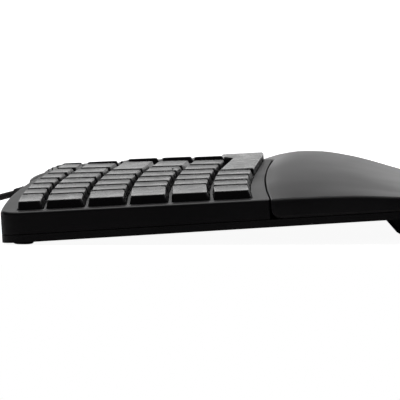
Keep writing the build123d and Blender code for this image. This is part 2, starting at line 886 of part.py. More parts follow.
# The coil winds clockwise from its left side, in and out again while it climbs
coil_pitch = cord_diameter + coil_gap
coil_radius = coil_inner_radius + coil_loops * coil_pitch
coil_height = tie_thickness + tie_gap + cord_diameter / 2


def coil_point(turn):
    """The cord's middle after a number of turns."""
    fold = turn % (2 * coil_loops)
    inward = min(fold, 2 * coil_loops - fold)
    radius = coil_radius - inward * coil_pitch
    climbs = 0
    for layer_number in range(1, coil_layers):
        climbs += min(max(2 * (turn - layer_number * coil_loops) + 0.5, 0), 1)
    angle = math.pi - 2 * math.pi * turn
    x = coil_start_x + coil_radius + radius * math.cos(angle)
    return Vector(x, coil_start_y + radius * math.sin(angle), coil_height + climbs * coil_pitch)


def coil_way(turn):
    """The cord's direction there."""
    angle = math.pi - 2 * math.pi * turn
    return Vector(math.sin(angle), -math.cos(angle), 0)


def coil_path():
    """The coil's arcs, with a straight end of one cord diameter at each end."""
    quarters = int(4 * coil_turns)
    edges = []
    start = coil_point(0)
    edges.append(Line(start - coil_way(0) * cord_diameter, start))
    for quarter in range(quarters):
        turn = quarter / 4
        later = (quarter + 1) / 4
        edges += biarc(coil_point(turn), coil_way(turn), coil_point(later), coil_way(later))
    end = coil_point(coil_turns)
    edges.append(Line(end, end + coil_way(coil_turns) * cord_diameter))
    return Wire(edges)


def coil_least_gap(path):
    """The least gap of the coil to itself, measured on points along it."""
    count = int(coil_turns * coil_checks)
    points = [path.position_at(step / count) for step in range(count + 1)]
    near = coil_checks // coil_loops
    least = coil_radius
    for first in range(count + 1):
        for second in range(first + near, count + 1):
            least = min(least, (points[first] - points[second]).length)
    return least - cord_diameter


def make_coil_tie():
    """The strap round the coil, on its far side from the keyboard."""
    half = tie_width / 2
    inner_wire = math.sqrt(coil_inner_radius**2 - half**2) - cord_diameter / 2 - tie_gap
    outer_wire = coil_radius + cord_diameter / 2 + tie_gap
    low = tie_thickness
    high = coil_height + (coil_layers - 1) * coil_pitch + cord_diameter / 2 + tie_gap
    depth = outer_wire - inner_wire
    middle = Pos(coil_start_x + coil_radius, coil_start_y + (outer_wire + inner_wire) / 2, (low + high) / 2)
    outside = Box(tie_width, depth + 2 * tie_thickness, high - low + 2 * tie_thickness)
    return middle * (outside - Box(2 * tie_width, depth, high - low))


def make_plug(end, way):
    """The plug's moulded grip and its steel shell, along the cord's last run."""
    seat = Plane(origin=end, x_dir=way, z_dir=(0, 0, 1)).location
    grip = Pos(plug_grip_length / 2, 0, 0) * Box(plug_grip_length, plug_grip_width, plug_grip_height)
    grip = fillet(grip.edges().filter_by(Axis.X), plug_edge)
    shell_start = plug_grip_length + shell_gap / 3
    outside = Box(plug_shell_length, plug_shell_width, plug_shell_height)
    inside_width = plug_shell_width - 2 * plug_shell_wall
    inside_height = plug_shell_height - 2 * plug_shell_wall
    inside = Box(plug_shell_length + overrun, inside_width, inside_height)
    shell = Pos(shell_start + plug_shell_length / 2, 0, 0) * (outside - inside)
    tongue_length = plug_shell_length - overrun
    tongue = Box(tongue_length, plug_shell_width - 4 * plug_shell_wall, plug_tongue_height)
    raise_tongue = plug_shell_height / 2 - plug_shell_wall - shell_gap / 2 - plug_tongue_height / 2
    tongue = Pos(plug_grip_length + tongue_length / 2, 0, raise_tongue) * tongue
    return seat * (grip + tongue), seat * shell


def build():
    """Every node: its solids on the board, and the cord's solids on the desk."""
    keys = lay_keys()
    caps = {}
    board = {}
    board["top_case"] = [make_top_case(keys)]
    board["bottom_case"] = [make_bottom_case()]
    board["palm_rest"] = [make_palm_rest()]
    board["key_guide_frame"] = [make_guide_frame(keys)]
    board["rubber_domes"] = make_domes(keys)
    board["switch_membrane"] = [make_sheet(membrane_depth, membrane_thickness)]
    board["backplate"] = [make_sheet(plate_depth, plate_thickness)]
    board["controller_board"] = [make_controller_board()]
    board["membrane_clamp"] = [make_membrane_clamp()]
    board["case_screws"] = make_case_screws()
    board["board_screws"] = make_board_screws()
    board["rear_feet"] = make_rear_feet()
    board["front_feet"] = make_front_feet()
    for side, x in zip(["left", "right"], leg_places()):
        board[side + "_leg"] = [make_leg(x)]
        board[side + "_leg_pad"] = [make_leg_pad(x)]
    for node, seat, width, depth in keys:
        if (width, depth) not in caps:
            caps[(width, depth)] = cap(width, depth)
        board.setdefault(node, []).append(seat * caps[(width, depth)])
    board["space_bar"] = [make_space_bar()]
    desk = {}
    tip = stand * relief_end()
    tip_way = Plane(tip).z_dir
    start = tip.position
    coil_start = coil_point(0) - coil_way(0) * cord_diameter
    route = [start, start + tip_way * first_run] + [Vector(*point) for point in cord_route] + [coil_start]
    run_path = route_path("cable_run", route)
    desk["cable_run"] = [tube(run_path, cord_diameter)]
    winding = coil_path()
    desk["cable_coil"] = [tube(winding, cord_diameter)]
    print("coil least gap", round(coil_least_gap(winding), 3))
    coil_end = coil_point(coil_turns) + coil_way(coil_turns) * cord_diameter
    lead = [coil_end] + [Vector(*point) for point in lead_route]
    lead_path = route_path("plug_lead", lead)
    desk["plug_lead"] = [tube(lead_path, cord_diameter)]
    print("cord length", round(run_path.length + winding.length + lead_path.length))
    grip, shell = make_plug(lead[-1], (lead[-1] - lead[-2]).normalized())
    desk["plug_grip"] = [grip]
    desk["plug_shell"] = [shell]
    desk["coil_tie"] = [make_coil_tie()]
    relief = [make_strain_relief()]
    for node, solids in board.items():
        board[node] = [stand * solid for solid in solids]
    boxes = [solid.bounding_box() for solids in board.values() for solid in solids]
    front = min(box.min.Y for box in boxes)
    rear = max(box.max.Y for box in boxes)
    centre = Pos(-case_width / 2, -(front + rear) / 2, 0)
    desk["strain_relief"] = [stand * solid for solid in relief]
    return centre, {**board, **desk}


def main():
    os.makedirs("parts", exist_ok=True)
    centre, nodes = build()
    print("centre shift", centre.position, "stand tilt", round(math.degrees(stand_tilt), 3))
    print("nodes", len(nodes))
    for node, solids in nodes.items():
        placed = [centre * solid for solid in solids]
        shape = placed[0] if len(placed) == 1 else Compound(children=placed)
        export_step(shape, f"parts/{node}.step")


if __name__ == "__main__":
    main()
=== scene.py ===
"""Looks for a split keyboard with a raised palm rest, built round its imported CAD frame."""

import json
import math

import bmesh
import bpy
from bpy.props import FloatProperty, FloatVectorProperty, IntProperty, PointerProperty
from mathutils import Matrix, Vector


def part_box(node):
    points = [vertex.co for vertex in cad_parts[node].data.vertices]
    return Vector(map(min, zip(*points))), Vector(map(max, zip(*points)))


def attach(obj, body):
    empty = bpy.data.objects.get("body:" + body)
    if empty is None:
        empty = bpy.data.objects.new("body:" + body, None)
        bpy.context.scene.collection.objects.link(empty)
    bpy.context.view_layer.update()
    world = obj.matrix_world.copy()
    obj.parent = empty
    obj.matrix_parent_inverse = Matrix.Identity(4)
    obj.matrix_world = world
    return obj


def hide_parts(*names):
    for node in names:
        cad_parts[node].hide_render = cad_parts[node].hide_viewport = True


bl_info = {
    "name": "Split keyboard",
    "version": (1, 0, 0),
    "blender": (4, 5, 0),
    "location": "3D View > Sidebar > Keyboard",
    "description": "Dresses the split keyboard's frame with its palm rest, cord, feet and finishes",
    "category": "Object",
}

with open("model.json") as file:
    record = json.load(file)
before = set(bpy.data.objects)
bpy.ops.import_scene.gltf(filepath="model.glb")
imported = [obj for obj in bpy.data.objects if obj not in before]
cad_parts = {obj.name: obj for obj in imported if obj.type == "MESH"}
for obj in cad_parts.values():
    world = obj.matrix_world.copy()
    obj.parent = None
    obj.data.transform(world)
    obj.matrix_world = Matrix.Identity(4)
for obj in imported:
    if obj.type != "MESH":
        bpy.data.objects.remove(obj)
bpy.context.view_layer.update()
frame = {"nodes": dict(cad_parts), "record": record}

MM = 0.001

# The board lies on the desk at this tilt, with its rear edge down
STAND_TILT = math.radians(3.395)
STAND_LIFT = 0.835
STAND_SHIFT = Vector((-237.0, 114.401, 0.0))
DECK_FALL = math.radians(0.52)
WING_SLOPE = math.radians(4.58)

CASE_WIDTH = 474.0
CREST_X = 157.0
RIGHT_WING_WIDTH = 167.0
DECK_LEFT_HEIGHT = 13.78
CAP_RISE = 3.8
CAP_DISH = 0.3
ROW_RADIUS = 590.0
KEY_BEND_START = 8.0
HOME_ROW_Y = -67.75

SEAM_DEPTH = 122.0
SEAM_RADIUS = 900.0
SEAM_GAP = 0.6
SEAM_BEND_START = 10.0
FRONT_DEPTH = 206.0
FRONT_BOW = 24.0
FRONT_CORNER = 26.0
TRAY_TOP = 3.7

# Softness of the seam's notch and of the palm rest's crest and valley, and the palm rest's rise past its side
SEAM_SOFTNESS = 9.0
CREST_SOFTNESS = 12.0
SIDE_RISE = 1.3

# Heights along the palm rest from the seam to the front edge, as shares of its crown and side
PALM_ALONG = [-0.1, 0.0, 0.09, 0.153, 0.257, 0.417, 0.685, 0.875, 1.0, 1.08]
PALM_CROWN = [0.895, 0.886, 0.979, 1.0, 0.979, 0.869, 0.567, 0.348, 0.19, 0.12]
PALM_SIDE = [0.91, 0.9, 0.872, 0.86, 0.85, 0.852, 0.79, 0.7, 0.48, 0.4]

# The palm rest's grid: places near a rim and the widest steps, in millimetres across the board and in
# hundredths of the palm rest's depth along it, and how its skirt falls
RIM_PLACES = [0.0, 0.12, 0.35, 0.7, 1.1, 1.6, 2.4, 3.6, 5.2]
COLUMN_STEP = 5.0
ROW_STEP = 3.0
SKIRT_SHARES = (0.35, 0.8, 1.0)

# From here on lengths are in metres, unless their comment says otherwise

# A small step that keeps two rings or a pole apart
NUDGE = 0.0001

# The strain relief: where the wall holds it and where the cord leaves it, its collar inside the wall as
# reach and radius pairs, and the radius of its neck, its boot at both ends and its mouth
RELIEF_ROOT = (-0.0800, 0.09902, 0.01778)
RELIEF_TIP = (-0.0800, 0.11660, 0.01590)
RELIEF_COLLAR = [
    (-0.0037, 0.0042),
    (-0.0036, 0.0045),
    (-0.0024, 0.0045),
    (-0.0023, 0.0042),
    (-0.00229, 0.003),
]
RELIEF_NECK = 0.003
RELIEF_BOOT = 0.00345
RELIEF_TAPER = 0.00113
RELIEF_MOUTH = 0.0021
RELIEF_STEPS = 16
RELIEF_SIDES = 40
RING_START = 0.0013
RING_END = 0.0016
RING_RADIUS = 0.00305
RING_WIRE = 0.0006
RING_SHRINK = 0.055

# The cord: its points before and after the coil
CORD_RUN = [
    RELIEF_TIP,
    (-0.0800, 0.13750, 0.01045),
    (-0.0775, 0.15640, 0.00500),
    (-0.0710, 0.17540, 0.00310),
    (-0.0610, 0.19440, 0.00285),
    (-0.0610, 0.21490, 0.00285),
]
CORD_LEAD = [
    (-0.00145, 0.21490, 0.01515),
    (-0.00145, 0.19840, 0.01515),
    (0.0020, 0.17840, 0.01100),
    (0.0120, 0.16190, 0.00640),
    (0.0300, 0.15140, 0.00380),
    (0.0500, 0.15140, 0.00380),
]

# The coil: its middle and lowest turn, loops in a layer, layers, turns and points in a turn
COIL_X, COIL_Y, COIL_LOW = -0.0302, 0.2184, 0.00285
COIL_LOOPS = 3
COIL_LAYERS = 4
COIL_TURNS = 11.5
COIL_POINTS = 24

# The strap round the coil: thickness, outer corner, softened edge and how far that edge is pinched
STRAP_THICKNESS = 0.0008
STRAP_CORNER = 0.0022
STRAP_EDGE = 0.0002
STRAP_PINCH = 0.25
STRAP_STEPS = 6

# The plug's grip: height of its axis, and for each station its reach, half its width and half its height
# in millimetres, and how square it is
PLUG_AXIS = 0.0038
GRIP_SIDES = 56
GRIP_STATIONS = [
    (0.0, 2.4, 2.3, 2.0),
    (0.0012, 2.9, 2.7, 2.2),
    (0.0035, 4.6, 3.2, 2.8),
    (0.006, 6.8, 3.62, 3.6),
    (0.009, 7.7, 3.78, 4.5),
    (0.0185, 7.8, 3.78, 5.0),
    (0.0204, 7.6, 3.6, 5.0),
    (0.021, 7.0, 3.1, 5.0),
]
GRIP_LENGTH = 0.0210
GRIP_RIB_START = 0.0092
GRIP_RIB_HEIGHT = 0.00355
GRIP_RIB_PITCH = 0.0016
GRIP_RIB_LENGTH = 0.0105
GRIP_RIB_RADIUS = 0.00042

# The plug's tongue: half its size, its middle past the grip and over the axis, and its bevel
TONGUE_HALF = Vector((0.0065, 0.0052, 0.00095))
TONGUE_REACH = 0.0064
TONGUE_RISE = 0.00075
TONGUE_BEVEL = 0.0002

# A rubber foot's rounded rim, as shares of its radius with their heights
FOOT_RIM = [(0.72, 0.0), (0.84, 0.00012), (0.93, 0.00042), (0.98, 0.0009), (1.0, 0.0014)]
FOOT_SIDES = 48

# The ends of every rib: the share of its radius that is left there, and the share of its length they take
RIB_TIP = 0.25
RIB_TAPER = 0.12

# The ribs of a leg's pad: their place on it, and their reach as shares of its height and width
PAD_RIB_INSET = 0.00055
PAD_RIB_HEIGHT = 0.00075
PAD_RIB_RADIUS = 0.00035
PAD_RIB_RISE = 0.5
PAD_RIB_LEAN = 0.15
PAD_RIB_WIDTH = 0.9

# The raised bars on the home keys, in millimetres: name, x and node, then radius and place on the cap
FINGER_MARKS = [
    ("left_finger_mark", 106.2, "home_letters_left"),
    ("right_finger_mark", 191.8, "home_letters_right"),
    ("keypad_finger_mark", 420.1, "keypad_digit_keys"),
]
MARK_RADIUS = 0.42
MARK_Y = -4.6
MARK_RISE = 0.08

# The photograph's camera: place, turn and dip in radians, lens and sensor in millimetres
CAMERA_PLACE = (-1.2370, 0.0538, 0.07255)
CAMERA_TURN = 0.0290
CAMERA_DIP = 0.052
CAMERA_LENS = 200.0
CAMERA_SENSOR = 36.0

# The stage: reach of the floor, the white card behind the object, and how light they and the world are
FLOOR_NEAR, FLOOR_FAR, FLOOR_SIDE = -0.34, 1.3, 1.1
CARD_X, CARD_SIDE, CARD_TOP = 0.95, 1.3, 0.4
WHITE = (1.0, 1.0, 1.0, 1.0)
STAGE_GREY = 0.8
FLOOR_GLOW = 0.94
WORLD_GLOW = 0.08

# The lamps: name, place, target, size and power
LAMPS = [
    ("top_lamp", (0.25, 0.0, 1.25), (0.0, 0.0, 0.0), 1.5, 12.0),
    ("palm_fill", (0.1, -1.3, 0.8), (0.0, -0.1, 0.0), 0.9, 0.8),
]


def length_property(name, description, default):
    """A length that a user may change."""
    return FloatProperty(name=name, description=description, default=default, unit="LENGTH")


class KeyboardSizes(bpy.types.PropertyGroup):
    """Sizes of the pieces that are made here."""

    palm_crown: length_property("Palm rest crown", "Height of its crest over the board's underside", 0.0282)
    palm_side: length_property("Palm rest side", "Height of the palm rest at its outer sides", 0.0119)
    palm_swell: FloatProperty(
        name="Palm rest swell",
        description="How much the palm rest bulges near its sides, as a share of its rise to the crest",
        default=0.36,
        min=0.0,
        max=0.8,
    )
    palm_edge: length_property("Palm rest edge", "Radius of the palm rest's rounded rim", 0.0017)
    palm_seam_edge: length_property("Palm rest seam edge", "Radius of the rim along the key deck", 0.0011)
    palm_foot_corner: length_property("Palm rest foot corner", "Radius where the seam meets the tray", 0.0045)
    palm_wall: length_property("Palm rest wall", "Thickness of the palm rest's shell", 0.002)
    cord_diameter: length_property("Cord diameter", "Diameter of the cord's jacket", 0.0035)
    coil_radius: length_property("Coil radius", "Radius of the outer turns", 0.0308)
    coil_pitch: length_property("Coil pitch", "Distance between neighbouring turns", 0.0041)
    relief_rings: IntProperty(
        name="Relief rings", description="Number of rings on the strain relief", default=6, min=1
    )
    grip_ribs: IntProperty(
        name="Grip ribs", description="Ribs on each face of the plug's grip", default=6, min=1
    )
    pad_ribs: IntProperty(name="Pad ribs", description="Ribs under each leg's rubber pad", default=3, min=1)
    mark_length: length_property("Finger mark length", "Length of the raised bar on a home key", 0.0036)
    foot_radius: length_property("Foot radius", "Radius of the rubber feet", 0.0048)


def colour_property(name, description, default):
    """A colour that a user may change."""
    return FloatVectorProperty(
        name=name, description=description, default=default, subtype="COLOR", size=3, min=0.0, max=1.0
    )


class KeyboardColours(bpy.types.PropertyGroup):
    """Colours of the finishes."""

    case: colour_property("Case", "Grained plastic of the case", (0.0066, 0.0058, 0.0069))
    palm: colour_property("Palm rest", "Soft plastic of the palm rest", (0.0136, 0.0126, 0.0138))
    keys: colour_property("Keys", "Satin plastic of the key caps", (0.0052, 0.0044, 0.0060))
    inner: colour_property("Inner parts", "Plastic of the parts under the deck", (0.045, 0.045, 0.05))
    silicone: colour_property("Domes", "Milky silicone of the domes", (0.72, 0.74, 0.72))
    film: colour_property("Membrane", "Polyester film with its printed lines", (0.55, 0.60, 0.58))
    board: colour_property("Circuit board", "Green mask of the controller board", (0.03, 0.17, 0.07))
    steel: colour_property("Steel", "Zinc-plated and nickel-plated steel", (0.58, 0.58, 0.60))
    rubber: colour_property("Rubber", "Feet and leg pads", (0.014, 0.013, 0.014))
    jacket: colour_property("Cord jacket", "Cord, strain relief, plug and strap", (0.012, 0.011, 0.012))


def sizes():
    """The sizes in use."""
    return bpy.context.scene.keyboard_sizes


def colours():
    """The colours in use."""
    return bpy.context.scene.keyboard_colours


# Materials


def feed(tree, node, inputs):
    """Gives a node its inputs, each a value or the socket that it comes from."""
    for name, value in inputs.items():
        if isinstance(value, bpy.types.NodeSocket):
            tree.links.new(value, node.inputs[name])
        else:
            node.inputs[name].default_value = value


def add_node(tree, kind, inputs=None, **settings):
    """Adds a node with its settings and its inputs."""
    node = tree.nodes.new(kind)
    for name, value in settings.items():
        setattr(node, name, value)
    feed(tree, node, inputs or {})
    return node


def outcome(tree, kind, inputs=None, **settings):
    """Adds a node and hands on its first output."""
    return add_node(tree, kind, inputs, **settings).outputs[0]


def clean_tree(owner):
    """The empty node tree of a material or a world."""
    owner.use_nodes = True
    owner.node_tree.nodes.clear()
    return owner.node_tree


def start_material(name):
    """Starts a material: its tree, its shader and the object's own coordinates."""
    tree = clean_tree(bpy.data.materials.new(name))
    shader = add_node(tree, "ShaderNodeBsdfPrincipled")
    add_node(tree, "ShaderNodeOutputMaterial", {"Surface": shader.outputs["BSDF"]})
    return tree, shader, add_node(tree, "ShaderNodeTexCoord").outputs["Object"]


def noise(tree, place, scale, detail=2.0, stretch=None):
    """A noise over the object, stretched along one way where stretch is given."""
    if stretch:
        place = outcome(tree, "ShaderNodeMapping", {"Vector": place, "Scale": stretch})
    return outcome(tree, "ShaderNodeTexNoise", {"Vector": place, "Scale": scale, "Detail": detail})


def spread(tree, value, low, high, start=0.3, end=0.7):
    """Carries a value from start to end onto low to high."""
    inputs = {"Value": value, "From Min": start, "From Max": end, "To Min": low, "To Max": high}
    return outcome(tree, "ShaderNodeMapRange", inputs)


def mix_colour(tree, share, first, second):
    """Mixes two colours by a share."""
    node = add_node(tree, "ShaderNodeMix", {"Factor": share}, data_type="RGBA")
    ends = {"A": (*first, 1.0), "B": (*second, 1.0)}
    for socket in node.inputs:
        if socket.type == "RGBA" and socket.name in ends:
            socket.default_value = ends[socket.name]
    return next(socket for socket in node.outputs if socket.type == "RGBA")


def shade(colour, factor):
    """A colour made lighter or darker."""
    return tuple(min(channel * factor, 1.0) for channel in colour)


def maths(tree, operation, first, second):
    """One step of arithmetic on two values, each a number or a socket."""
    return outcome(tree, "ShaderNodeMath", {0: first, 1: second}, operation=operation)


def bumps(tree, heights, distance, strength):
    """The surface's normal, bumped by one or more heights added up."""
    total = heights[0]
    for height in heights[1:]:
        total = maths(tree, "ADD", total, height)
    return outcome(tree, "ShaderNodeBump", {"Height": total, "Distance": distance, "Strength": strength})


def cloudy(tree, clouds, colour, dark, light):
    """A colour that clouds make darker and lighter by these factors."""
    return mix_colour(tree, spread(tree, clouds, 0.0, 1.0), shade(colour, dark), shade(colour, light))


def painted_shade_by_facing(tree, top, side):
    """Painted shade: faces that look up shine as much as top says, and steep sides as much as side says."""
    normal = add_node(tree, "ShaderNodeTexCoord").outputs["Normal"]
    parts = add_node(tree, "ShaderNodeSeparateXYZ", {"Vector": normal})
    return spread(tree, parts.outputs["Z"], side, top, 0.5, 0.9)


def moulded_plastic(name, colour, rough, grain_scale, grain, level, polish_scale, side_level=None):
    """Black moulded plastic: spark-eroded grain, faint clouding and handled patches that shine more."""
    tree, shader, place = start_material(name)
    clouds = noise(tree, place, 38.0, 3.0)
    fine = noise(tree, place, grain_scale)
    coarse = noise(tree, place, grain_scale * 0.35, 1.0)
    inputs = {
        "Base Color": cloudy(tree, clouds, colour, 0.82, 1.2),
        "Roughness": spread(tree, noise(tree, place, polish_scale), rough - 0.035, rough + 0.035),
        "Normal": bumps(tree, [fine, coarse], 0.00004, grain),
        # Where side_level is given, steep sides shine less than tops of the same plastic: painted shade
        "Specular IOR Level": level if side_level is None else painted_shade_by_facing(tree, level, side_level),
        "IOR": 1.49,
    }
    feed(tree, shader, inputs)


def rubber(name, colour, rough, grain_scale):
    """Matte rubber or soft jacket with a fine skin and dusty patches."""
    tree, shader, place = start_material(name)
    dust = noise(tree, place, 160.0, 4.0)
    dusty = spread(tree, dust, 0.0, 1.0, 0.35, 0.75)
    inputs = {
        "Base Color": mix_colour(tree, dusty, colour, shade(colour, 1.9)),
        "Roughness": spread(tree, dust, rough - 0.05, rough + 0.08),
        "Normal": bumps(tree, [noise(tree, place, grain_scale, 3.0)], 0.00005, 0.25),
        "Specular IOR Level": 0.4,
    }
    feed(tree, shader, inputs)


def plated_steel(name, colour, rough, stretch):
    """Plated steel with rolling lines and cloudy plating."""
    tree, shader, place = start_material(name)
    lines = noise(tree, place, 900.0, 3.0, stretch)
    clouds = noise(tree, place, 55.0, 4.0)
    inputs = {
        "Base Color": cloudy(tree, clouds, colour, 0.84, 1.08),
        "Roughness": spread(tree, lines, rough - 0.07, rough + 0.09),
        "Normal": bumps(tree, [lines], 0.00002, 0.15),
        "Metallic": 1.0,
    }
    feed(tree, shader, inputs)


def dome_silicone():
    """Milky silicone that lets some light through."""
    tree, shader, place = start_material("dome_silicone_finish")
    clouds = noise(tree, place, 120.0, 3.0)
    inputs = {
        "Base Color": cloudy(tree, clouds, colours().silicone, 0.9, 1.0),
        "Roughness": spread(tree, clouds, 0.42, 0.56),
        "Subsurface Weight": 0.25,
        "Subsurface Scale": 0.002,
    }
    feed(tree, shader, inputs)


def membrane_film():
    """Clear-grey film with printed silver lines."""
    tree, shader, place = start_material("membrane_film_finish")
    colour = colours().film
    lines = {
        "Vector": place,
        "Scale": 105.0,
        "Color1": (*colour, 1.0),
        "Color2": (*shade(colour, 0.92), 1.0),
        "Mortar": (0.34, 0.35, 0.36, 1.0),
        "Mortar Size": 0.06,
        "Mortar Smooth": 0.1,
    }
    rough = spread(tree, noise(tree, place, 60.0), 0.16, 0.3)
    feed(tree, shader, {"Base Color": outcome(tree, "ShaderNodeTexBrick", lines), "Roughness": rough})


def board_laminate():
    """Green solder mask over fine copper tracks."""
    tree, shader, place = start_material("board_laminate_finish")
    colour = colours().board
    cells = {"Vector": place, "Scale": 420.0, "Randomness": 0.35}
    tracks = outcome(tree, "ShaderNodeTexVoronoi", cells, distance="MANHATTAN")
    share = spread(tree, tracks, 0.0, 1.0, 0.42, 0.5)
    body = mix_colour(tree, share, colour, shade(colour, 1.7))
    rough = spread(tree, noise(tree, place, 90.0), 0.25, 0.4)
    feed(tree, shader, {"Base Color": body, "Roughness": rough})


def make_finishes():
    """Makes every finish, named after the record's material slot that it belongs to."""
    paint = colours()
    steel = paint.steel
    moulded_plastic(
        "case_plastic_finish", paint.case, 0.44, 2600.0, 0.25, level=0.55, polish_scale=24.0, side_level=0.16
    )
    moulded_plastic("palm_plastic_finish", paint.palm, 0.34, 3400.0, 0.12, level=0.12, polish_scale=18.0)
    moulded_plastic(
        "key_plastic_finish", paint.keys, 0.28, 3800.0, 0.1, level=0.49, polish_scale=150.0, side_level=0.22
    )
    moulded_plastic("inner_plastic_finish", paint.inner, 0.55, 2200.0, 0.2, level=0.5, polish_scale=30.0)
    dome_silicone()
    membrane_film()
    plated_steel("plate_steel_finish", steel, rough=0.38, stretch=(0.04, 1.0, 1.0))
    board_laminate()
    plated_steel("screw_steel_finish", shade(steel, 0.88), rough=0.34, stretch=(1.0, 1.0, 0.1))
    rubber("foot_rubber_finish", paint.rubber, rough=0.66, grain_scale=1800.0)
    rubber("cord_jacket_finish", paint.jacket, rough=0.52, grain_scale=1500.0)
    plated_steel("plug_steel_finish", shade(steel, 1.25), rough=0.24, stretch=(0.06, 1.0, 1.0))


def finish_of(slot):
    """The finish for a material slot, made once."""
    name = slot + "_finish"
    if name not in bpy.data.materials:
        make_finishes()
    return bpy.data.materials[name]


# Meshes


def board_place():
    """Carries the board's own millimetres to the desk's frame in metres."""
    tilt = Matrix.Rotation(-STAND_TILT, 4, "X")
    rise = Matrix.Translation(STAND_SHIFT + Vector((0.0, 0.0, STAND_LIFT)))
    return Matrix.Scale(MM, 4) @ rise @ tilt


def key_place(x, y):
    """A key's seat on its wing of the deck, on the desk, in metres."""
    if x <= CREST_X:
        reach = max(x - KEY_BEND_START, 0.0)
        turn = -math.asin(reach / ROW_RADIUS)
        tilt = -WING_SLOPE
    elif x <= CREST_X + RIGHT_WING_WIDTH:
        reach = max(2 * CREST_X - KEY_BEND_START - x, 0.0)
        turn = math.asin(reach / ROW_RADIUS)
        tilt = WING_SLOPE
    else:
        reach = turn = tilt = 0.0
    drop = ROW_RADIUS - math.sqrt(ROW_RADIUS**2 - reach**2)
    fall = Matrix.Rotation(DECK_FALL, 4, "X")
    seat = Matrix.Translation((x, y - drop, deck_height(x)))
    return board_place() @ fall @ seat @ Matrix.Rotation(tilt, 4, "Y") @ Matrix.Rotation(turn, 4, "Z")


def deck_height(x):
    """Height of the key deck at x, with its crest and valley left sharp."""
    reach = min(abs(x - CREST_X), RIGHT_WING_WIDTH)
    return DECK_LEFT_HEIGHT + (CREST_X - reach) * math.tan(WING_SLOPE)


def put_object(name, data):
    """A new object in the scene."""
    thing = bpy.data.objects.new(name, data)
    bpy.context.scene.collection.objects.link(thing)
    return thing


def add_piece(name, mesh, body, slot):
    """Puts a finished mesh in the scene, with its finish, riding on a body."""
    mesh.name = name
    mesh.materials.clear()
    mesh.materials.append(finish_of(slot))
    piece = put_object(name, mesh)
    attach(piece, body)
    return piece


def mesh_from(shape, name, smooth=True):
    """Closes a bmesh into a mesh with its faces turned outwards."""
    bmesh.ops.remove_doubles(shape, verts=shape.verts, dist=1e-7)
    bmesh.ops.recalc_face_normals(shape, faces=shape.faces)
    for face in shape.faces:
        face.smooth = smooth
    mesh = bpy.data.meshes.new(name)
    shape.to_mesh(mesh)
    shape.free()
    return mesh


def with_modifier(mesh, kind, settings):
    """A mesh after one modifier."""
    holder = put_object("holder", mesh)
    modifier = holder.modifiers.new("step", kind)
    for name, value in settings.items():
        setattr(modifier, name, value)
    return plain_mesh(holder)


def plain_mesh(holder):
    """The evaluated mesh of a holder object, which is then removed."""
    depsgraph = bpy.context.evaluated_depsgraph_get()
    depsgraph.update()
    result = bpy.data.meshes.new_from_object(holder.evaluated_get(depsgraph), depsgraph=depsgraph)
    bpy.data.objects.remove(holder)
    return result


def ring_strip(shape, first, second):
    """Joins two closed rings of vertices with faces."""
    count = len(first)
    for index in range(count):
        after = (index + 1) % count
        shape.faces.new((first[index], first[after], second[after], second[index]))


def close_rings(shape, rings):
    """Joins rings of vertices one after another and closes both ends."""
    for first, second in zip(rings, rings[1:]):
        ring_strip(shape, first, second)
    shape.faces.new(rings[0])
    shape.faces.new(rings[-1])


def round_ring(shape, place, radius, sides, height=0.0):
    """A ring of vertices round the upright axis of a place."""
    ring = []
    for side in range(sides):
        angle = 2 * math.pi * side / sides
        point = Vector((radius * math.cos(angle), radius * math.sin(angle), height))
        ring.append(shape.verts.new(place @ point))
    return ring


def lathe(profile, sides, place):
    """A closed turned shape: radius and height pairs from one pole to the other."""
    shape = bmesh.new()
    close_rings(shape, [round_ring(shape, place, radius, sides, height) for radius, height in profile])
    return shape


def steady_curve(places, values, at):
    """A smooth curve through points that never swings past them."""
    steps = [later - now for now, later in zip(places, places[1:])]
    slopes = [(later - now) / step for now, later, step in zip(values, values[1:], steps)]
    ways = [slopes[0]]
    for index in range(1, len(slopes)):
        before, after = slopes[index - 1], slopes[index]
        if before * after <= 0:
            ways.append(0.0)
            continue
        first = 2 * steps[index] + steps[index - 1]
        second = steps[index] + 2 * steps[index - 1]
        ways.append((first + second) / (first / before + second / after))
    ways.append(slopes[-1])
    span = 0
    while span < len(steps) - 1 and at > places[span + 1]:
        span += 1
    share = (at - places[span]) / steps[span]
    cube, square = share**3, share**2
    return (
        (2 * cube - 3 * square + 1) * values[span]
        + (cube - 2 * square + share) * steps[span] * ways[span]
        + (3 * square - 2 * cube) * values[span + 1]
        + (cube - square) * steps[span] * ways[span + 1]
    )


def seam_y(x):
    """The seam's line on the board, with its notch rounded at the crest."""
    far = CREST_X - SEAM_BEND_START
    reach = far - min(rounded_reach(x, SEAM_SOFTNESS), far)
    return -SEAM_DEPTH - SEAM_GAP - (SEAM_RADIUS - math.sqrt(SEAM_RADIUS**2 - reach**2))


def rounded_reach(x, softness):
    """Distance from the crest line with its corner rounded off."""
    reach = x - CREST_X
    return math.sqrt(reach**2 + softness**2) - softness * math.exp(-abs(reach) / (4 * softness))


def front_y(x):
    """The front edge's line on the board."""
    half = CREST_X - FRONT_CORNER
    radius = (half**2 + FRONT_BOW**2) / (2 * FRONT_BOW)
    reach = min(abs(x - CREST_X), half)
    return -FRONT_DEPTH - (math.sqrt(radius**2 - reach**2) - (radius - FRONT_BOW))


def edge_y(x):
    """The front edge with the plan's round corners cut off."""
    corner = FRONT_CORNER / 2
    from_side = min(x, CASE_WIDTH - x)
    if from_side >= corner:
        return front_y(x)
    cut = corner - math.sqrt(max(corner**2 - (corner - from_side) ** 2, 0.0))
    return -FRONT_DEPTH + cut


